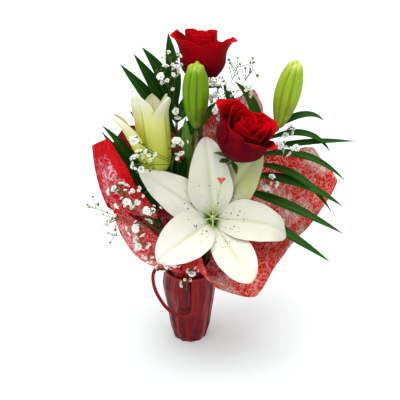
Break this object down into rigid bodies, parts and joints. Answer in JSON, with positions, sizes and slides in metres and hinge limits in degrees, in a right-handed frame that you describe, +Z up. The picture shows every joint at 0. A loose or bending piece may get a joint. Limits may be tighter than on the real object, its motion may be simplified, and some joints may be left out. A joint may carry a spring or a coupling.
{
  "type": "mixed flower bouquet",
  "caption": "Small upright bouquet of lilies, roses, palm fronds and baby's breath in a film-wrapped foot with a fibre-web collar and a ribbon.",
  "frame": {"origin": "centre of the foot's flat underside", "axes": "+Z up along the foot, -Y towards the open lily, +X towards the right-hand frond"},
  "size_m": [0.2883, 0.1938, 0.3841],
  "materials": {
    "film": "creased glossy film, semi-opaque",
    "web": "matt fibre web, random fibres over a thin film",
    "ribbon": "satin",
    "tumbler": "clear, glossy",
    "foam": "open foam, wet",
    "tepal": "waxy, soft",
    "filament": "waxy",
    "stigma": "velvety",
    "pale_tepal": "waxy, soft",
    "bud": "waxy",
    "lily_stem": "smooth, slightly waxy",
    "rose": "velvety",
    "rose_stem": "matt",
    "frond": "leathery, slightly waxy",
    "breath": "matt, papery"
  },
  "bodies": {
    "root": {"foot_wrap": "film", "tumbler": "tumbler", "foam_plug": "foam", "collar_right": "web", "collar_back": "web", "collar_left": "web", "ribbon": "ribbon", "lily_stem": "lily_stem", "lily_open": "tepal", "lily_filaments": "filament", "lily_stigma": "stigma", "lily_half": "pale_tepal", "lily_bud_a": "bud", "lily_bud_b": "bud", "rose_a": "rose", "rose_a_stem": "rose_stem", "rose_b": "rose", "rose_b_stem": "rose_stem", "frond_right": "frond", "frond_back": "frond", "frond_left": "frond", "breath_upper_left": "breath", "breath_upper_right": "breath", "breath_half_lily": "breath", "breath_left": "breath", "breath_front": "breath", "breath_right": "breath"}
  },
  "joints": []
}
